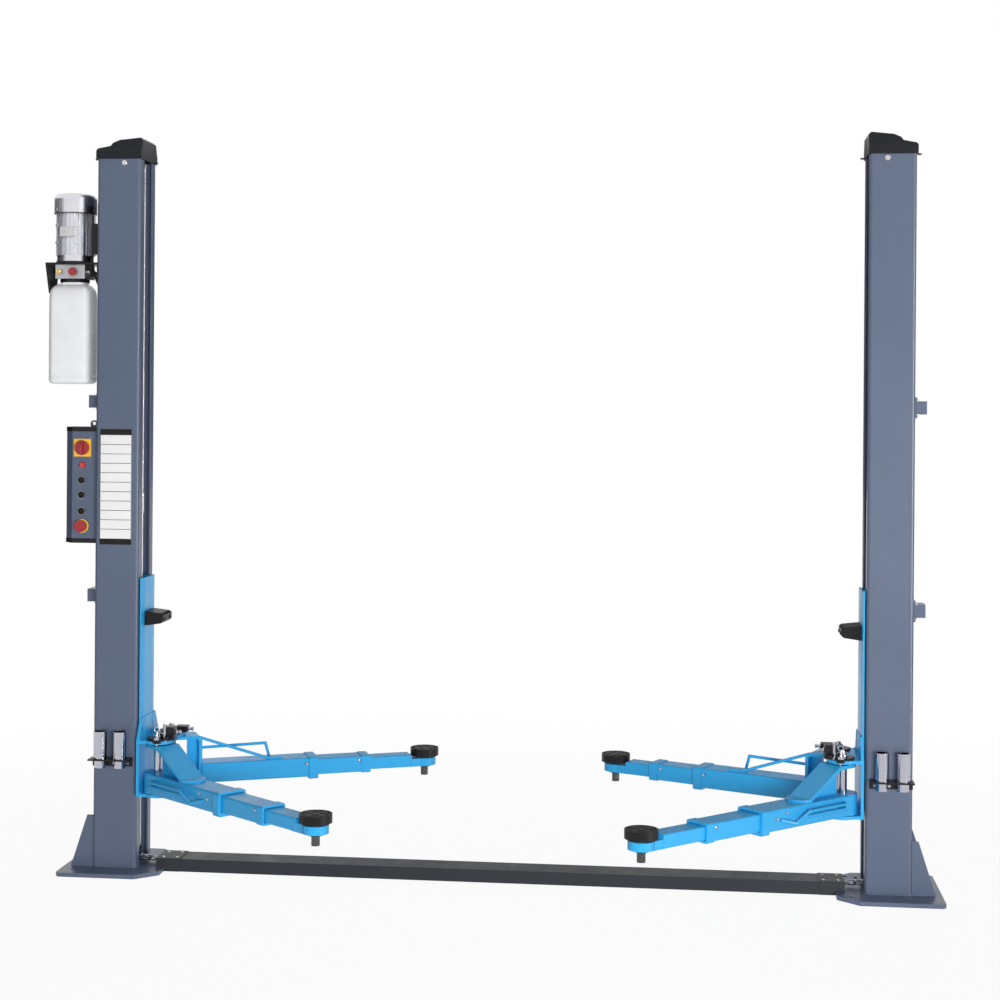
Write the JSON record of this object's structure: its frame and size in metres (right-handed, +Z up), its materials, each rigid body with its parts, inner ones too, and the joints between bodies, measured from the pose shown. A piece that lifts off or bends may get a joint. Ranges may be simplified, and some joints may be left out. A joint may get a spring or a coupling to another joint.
{
  "type": "two post car lift",
  "caption": "Two post vehicle lift with a floor cover, sliding carriages, telescopic swing arms with screw pads, and a motor pump unit on one column.",
  "frame": {"origin": "on the floor, midway between the two columns and on their middle plane", "axes": "+X from the column with the power unit to the other one, +Y to the rear arms, +Z up"},
  "size_m": [3.48, 1.4237, 2.868],
  "materials": {
    "column_paint": "satin",
    "arm_paint": "gloss",
    "cover_paint": "satin",
    "black_plastic": "matte",
    "black_rubber": "matte",
    "steel": "brushed",
    "cable_steel": "brushed",
    "chrome": "polished",
    "motor_aluminium": "satin",
    "bracket_paint": "satin",
    "tank_plastic": "satin",
    "switch_red": "gloss",
    "button_black": "gloss"
  },
  "bodies": {
    "frame": {"base_plate_left": "column_paint", "base_plate_right": "column_paint", "column_left": "column_paint", "column_right": "column_paint", "top_caps": "black_plastic", "top_sheaves": "steel", "base_sheaves": "steel", "level_cables": "cable_steel", "floor_cover": "cover_paint", "cover_ends": "cover_paint", "lock_covers": "column_paint", "adapter_racks": "bracket_paint", "height_adapters": "chrome", "motor": "motor_aluminium", "motor_bracket": "bracket_paint", "valve_block": "motor_aluminium", "oil_tank": "tank_plastic", "control_box": "column_paint"},
    "main_switch": {"main_switch": "switch_red"},
    "raise_button": {"raise_button": "button_black"},
    "lower_button": {"lower_button": "button_black"},
    "lock_button": {"lock_button": "button_black"},
    "stop_button": {"stop_button": "switch_red"},
    "carriage_left": {"carriage_left": "arm_paint", "door_guard_left": "black_rubber", "arm_pins_left": "chrome", "arm_locks_left": "bracket_paint"},
    "carriage_right": {"carriage_right": "arm_paint", "door_guard_right": "black_rubber", "arm_pins_right": "chrome", "arm_locks_right": "bracket_paint"},
    "outer_arm_left_front": {"outer_arm_left_front": "arm_paint"},
    "middle_arm_left_front": {"middle_arm_left_front": "arm_paint"},
    "inner_arm_left_front": {"inner_arm_left_front": "arm_paint"},
    "pad_left_front": {"pad_left_front": "black_rubber"},
    "outer_arm_left_rear": {"outer_arm_left_rear": "arm_paint"},
    "middle_arm_left_rear": {"middle_arm_left_rear": "arm_paint"},
    "inner_arm_left_rear": {"inner_arm_left_rear": "arm_paint"},
    "pad_left_rear": {"pad_left_rear": "black_rubber"},
    "outer_arm_right_front": {"outer_arm_right_front": "arm_paint"},
    "middle_arm_right_front": {"middle_arm_right_front": "arm_paint"},
    "inner_arm_right_front": {"inner_arm_right_front": "arm_paint"},
    "pad_right_front": {"pad_right_front": "black_rubber"},
    "outer_arm_right_rear": {"outer_arm_right_rear": "arm_paint"},
    "middle_arm_right_rear": {"middle_arm_right_rear": "arm_paint"},
    "inner_arm_right_rear": {"inner_arm_right_rear": "arm_paint"},
    "pad_right_rear": {"pad_right_rear": "black_rubber"}
  },
  "joints": [
    {"name": "main_switch_turn", "type": "hinge", "parent": "frame", "child": "main_switch", "pos_m": [-1.64, -0.06, 1.652], "axis": [0, 1, 0], "range_deg": [0, 90]},
    {"name": "raise_button_press", "type": "slide", "parent": "frame", "child": "raise_button", "axis": [0, 1, 0], "range_m": [0, 0.004], "stiffness_N_per_m": 600},
    {"name": "lower_button_press", "type": "slide", "parent": "frame", "child": "lower_button", "axis": [0, 1, 0], "range_m": [0, 0.004], "stiffness_N_per_m": 600},
    {"name": "lock_button_press", "type": "slide", "parent": "frame", "child": "lock_button", "axis": [0, 1, 0], "range_m": [0, 0.004], "stiffness_N_per_m": 600},
    {"name": "stop_button_press", "type": "slide", "parent": "frame", "child": "stop_button", "axis": [0, 1, 0], "range_m": [0, 0.004], "stiffness_N_per_m": 600},
    {"name": "lift_left", "type": "slide", "parent": "frame", "child": "carriage_left", "axis": [0, 0, 1], "range_m": [-0.225, 1.48]},
    {"name": "lift_right", "type": "slide", "parent": "frame", "child": "carriage_right", "axis": [0, 0, 1], "range_m": [-0.225, 1.48]},
    {"name": "swing_left_front", "type": "hinge", "parent": "carriage_left", "child": "outer_arm_left_front", "pos_m": [-1.315, -0.087, 0.35], "axis": [0, 0, -1], "range_deg": [-36.9, 45.1]},
    {"name": "middle_slide_left_front", "type": "slide", "parent": "outer_arm_left_front", "child": "middle_arm_left_front", "axis": [0.7672, -0.6414, 0], "range_m": [-0.21, 0.13]},
    {"name": "inner_slide_left_front", "type": "slide", "parent": "middle_arm_left_front", "child": "inner_arm_left_front", "axis": [0.7672, -0.6414, 0], "range_m": [-0.174, 0.101]},
    {"name": "pad_screw_left_front", "type": "slide", "parent": "inner_arm_left_front", "child": "pad_left_front", "axis": [0, 0, 1], "range_m": [0, 0.05]},
    {"name": "swing_left_rear", "type": "hinge", "parent": "carriage_left", "child": "outer_arm_left_rear", "pos_m": [-1.315, 0.087, 0.35], "axis": [0, 0, 1], "range_deg": [-20.9, 61.1]},
    {"name": "middle_slide_left_rear", "type": "slide", "parent": "outer_arm_left_rear", "child": "middle_arm_left_rear", "axis": [0.9143, 0.4051, 0], "range_m": [-0.176, 0.149]},
    {"name": "inner_slide_left_rear", "type": "slide", "parent": "middle_arm_left_rear", "child": "inner_arm_left_rear", "axis": [0.9143, 0.4051, 0], "range_m": [-0.173, 0.027]},
    {"name": "pad_screw_left_rear", "type": "slide", "parent": "inner_arm_left_rear", "child": "pad_left_rear", "axis": [0, 0, 1], "range_m": [0, 0.05]},
    {"name": "swing_right_front", "type": "hinge", "parent": "carriage_right", "child": "outer_arm_right_front", "pos_m": [1.315, -0.087, 0.35], "axis": [0, 0, 1], "range_deg": [-41.1, 40.9]},
    {"name": "middle_slide_right_front", "type": "slide", "parent": "outer_arm_right_front", "child": "middle_arm_right_front", "axis": [-0.7181, -0.6959, 0], "range_m": [-0.22, 0.12]},
    {"name": "inner_slide_right_front", "type": "slide", "parent": "middle_arm_right_front", "child": "inner_arm_right_front", "axis": [-0.7181, -0.6959, 0], "range_m": [-0.192, 0.083]},
    {"name": "pad_screw_right_front", "type": "slide", "parent": "inner_arm_right_front", "child": "pad_right_front", "axis": [0, 0, 1], "range_m": [0, 0.05]},
    {"name": "swing_right_rear", "type": "hinge", "parent": "carriage_right", "child": "outer_arm_right_rear", "pos_m": [1.315, 0.087, 0.35], "axis": [0, 0, -1], "range_deg": [-22.2, 59.8]},
    {"name": "middle_slide_right_rear", "type": "slide", "parent": "outer_arm_right_rear", "child": "middle_arm_right_rear", "axis": [-0.9048, 0.4258, 0], "range_m": [-0.155, 0.17]},
    {"name": "inner_slide_right_rear", "type": "slide", "parent": "middle_arm_right_rear", "child": "inner_arm_right_rear", "axis": [-0.9048, 0.4258, 0], "range_m": [-0.108, 0.092]},
    {"name": "pad_screw_right_rear", "type": "slide", "parent": "inner_arm_right_rear", "child": "pad_right_rear", "axis": [0, 0, 1], "range_m": [0, 0.05]}
  ],
  "couplings": [
    {"joint": "lift_right", "follows": "lift_left", "ratio": 1}
  ]
}
